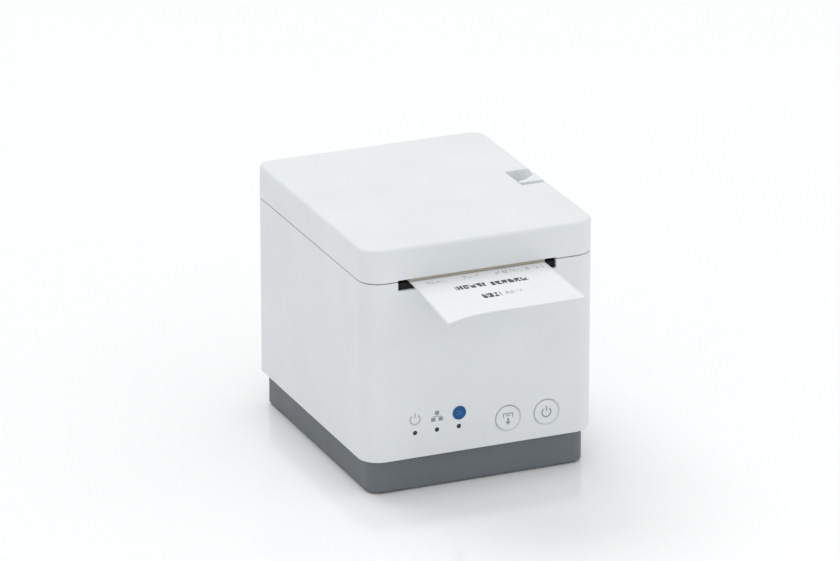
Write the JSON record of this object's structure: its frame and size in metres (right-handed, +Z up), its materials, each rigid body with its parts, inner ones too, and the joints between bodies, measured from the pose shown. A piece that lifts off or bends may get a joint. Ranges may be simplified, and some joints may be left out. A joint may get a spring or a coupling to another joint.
{
  "type": "receipt printer",
  "caption": "Small cube-shaped receipt printer with a front paper slot, lift-up lid with a lever, round buttons, paper roll and cutter.",
  "frame": {"origin": "centre of the casing's footprint on the surface it stands on", "axes": "+Z up, front and paper exit towards -Y, lid hinge along X at the rear"},
  "size_m": [0.1, 0.1579, 0.1046],
  "materials": {
    "white_plastic": "fine satin texture",
    "grey_plastic": "fine matt texture",
    "light_grey_plastic": "matt",
    "black_plastic": "matt",
    "black_rubber": "matt",
    "steel": "satin",
    "sheet_steel": "zinc-plated satin",
    "motor_can": "satin",
    "aluminium": "die-cast satin",
    "capacitor_sleeve": "gloss sleeve",
    "ceramic": "glazed",
    "gear_plastic": "semi-gloss",
    "brass": "machined",
    "circuit_board": "solder mask",
    "paper": "smooth thermal paper",
    "cardboard": "matt card",
    "lamp_plastic": "smoked, unlit",
    "blue_print": "satin print"
  },
  "bodies": {
    "casing": {"base_tray": "grey_plastic", "rubber_feet": "black_rubber", "body_shell": "white_plastic", "case_screws": "steel", "roll_bucket": "light_grey_plastic", "deck_screws": "steel", "mechanism_frame": "sheet_steel", "platen_bushings": "black_plastic", "paper_guide": "black_plastic", "exit_guide": "black_plastic", "paper_sensor": "black_plastic", "feed_motor": "motor_can", "cutter_motor": "motor_can", "gear_posts": "steel", "catch_pins": "steel", "hinge_brackets": "grey_plastic", "paper_web": "paper", "receipt": "paper", "main_board": "circuit_board", "board_screws": "steel", "power_inlet": "black_plastic", "drawer_socket": "black_plastic", "usb_socket": "steel", "lan_socket": "steel", "capacitors": "capacitor_sleeve", "controller_chips": "black_plastic", "radio_module": "steel", "front_board": "circuit_board", "front_board_screws": "steel", "status_lamps": "lamp_plastic", "light_pipes": "lamp_plastic", "tact_switches": "black_plastic", "round_badge": "blue_print"},
    "lid": {"lid_shell": "white_plastic", "lid_frame": "grey_plastic", "lid_screws": "steel", "fixed_blade": "steel", "hinge_rod": "steel", "head_springs": "steel", "lever_spring": "steel"},
    "print_head": {"head_heat_sink": "aluminium", "thermal_head": "ceramic"},
    "latch": {"latch_shaft": "steel", "cover_open_lever": "white_plastic", "latch_hooks": "grey_plastic"},
    "roll": {"paper_roll": "paper", "roll_core": "cardboard"},
    "platen": {"platen_roller": "black_rubber", "platen_shaft": "steel", "platen_gear": "gear_plastic"},
    "reduction": {"reduction_gear": "gear_plastic"},
    "feed_rotor": {"feed_pinion": "brass"},
    "cutter": {"moving_blade": "steel"},
    "cutter_drive": {"cutter_gear": "gear_plastic"},
    "cutter_rotor": {"cutter_pinion": "brass"},
    "feed_key": {"feed_button": "white_plastic"},
    "power_key": {"power_button": "white_plastic"}
  },
  "joints": [
    {"name": "lid_hinge", "type": "hinge", "parent": "casing", "child": "lid", "pos_m": [0, 0.053, 0.0962], "axis": [-1, 0, 0], "range_deg": [0, 90]},
    {"name": "print_head_float", "type": "slide", "parent": "lid", "child": "print_head", "axis": [0, 0, 1], "range_m": [0, 0.0006], "stiffness_N_per_m": 1500, "springref_m": -0.002, "deforming": ["head_springs"]},
    {"name": "cover_lever_pivot", "type": "hinge", "parent": "lid", "child": "latch", "pos_m": [0, -0.0025, 0.094], "axis": [1, 0, 0], "range_deg": [0, 12], "stiffness_Nm_per_rad": 0.05},
    {"name": "paper_roll_spin", "type": "hinge", "parent": "casing", "child": "roll", "pos_m": [-0.0021, 0.0155, 0.052], "axis": [1, 0, 0], "continuous": true},
    {"name": "platen_spin", "type": "hinge", "parent": "casing", "child": "platen", "pos_m": [0, -0.0325, 0.08455], "axis": [1, 0, 0], "continuous": true},
    {"name": "reduction_gear_spin", "type": "hinge", "parent": "casing", "child": "reduction", "pos_m": [0.035, -0.0274, 0.07572], "axis": [1, 0, 0], "continuous": true},
    {"name": "feed_motor_spin", "type": "hinge", "parent": "casing", "child": "feed_rotor", "pos_m": [0.035, -0.02948, 0.0639], "axis": [1, 0, 0], "continuous": true},
    {"name": "cutter_blade_travel", "type": "slide", "parent": "casing", "child": "cutter", "axis": [0, 0, 1], "range_m": [0, 0.005]},
    {"name": "cutter_gear_turn", "type": "hinge", "parent": "casing", "child": "cutter_drive", "pos_m": [-0.035, -0.0438, 0.07195], "axis": [1, 0, 0], "range_deg": [-80, 0]},
    {"name": "cutter_motor_turn", "type": "hinge", "parent": "casing", "child": "cutter_rotor", "pos_m": [-0.035, -0.04119, 0.06147], "axis": [1, 0, 0], "range_deg": [0, 160]},
    {"name": "feed_button_press", "type": "slide", "parent": "casing", "child": "feed_key", "axis": [0, 1, 0], "range_m": [0, 0.0009], "stiffness_N_per_m": 400},
    {"name": "power_button_press", "type": "slide", "parent": "casing", "child": "power_key", "axis": [0, 1, 0], "range_m": [0, 0.0009], "stiffness_N_per_m": 400}
  ],
  "couplings": [
    {"joint": "platen_spin", "follows": "paper_roll_spin", "ratio": 5.8},
    {"joint": "reduction_gear_spin", "follows": "paper_roll_spin", "ratio": -8.2857},
    {"joint": "feed_motor_spin", "follows": "paper_roll_spin", "ratio": 19.333},
    {"joint": "cutter_gear_turn", "follows": "cutter_blade_travel", "rad_per_m": -277.78},
    {"joint": "cutter_motor_turn", "follows": "cutter_blade_travel", "rad_per_m": 555.56}
  ]
}
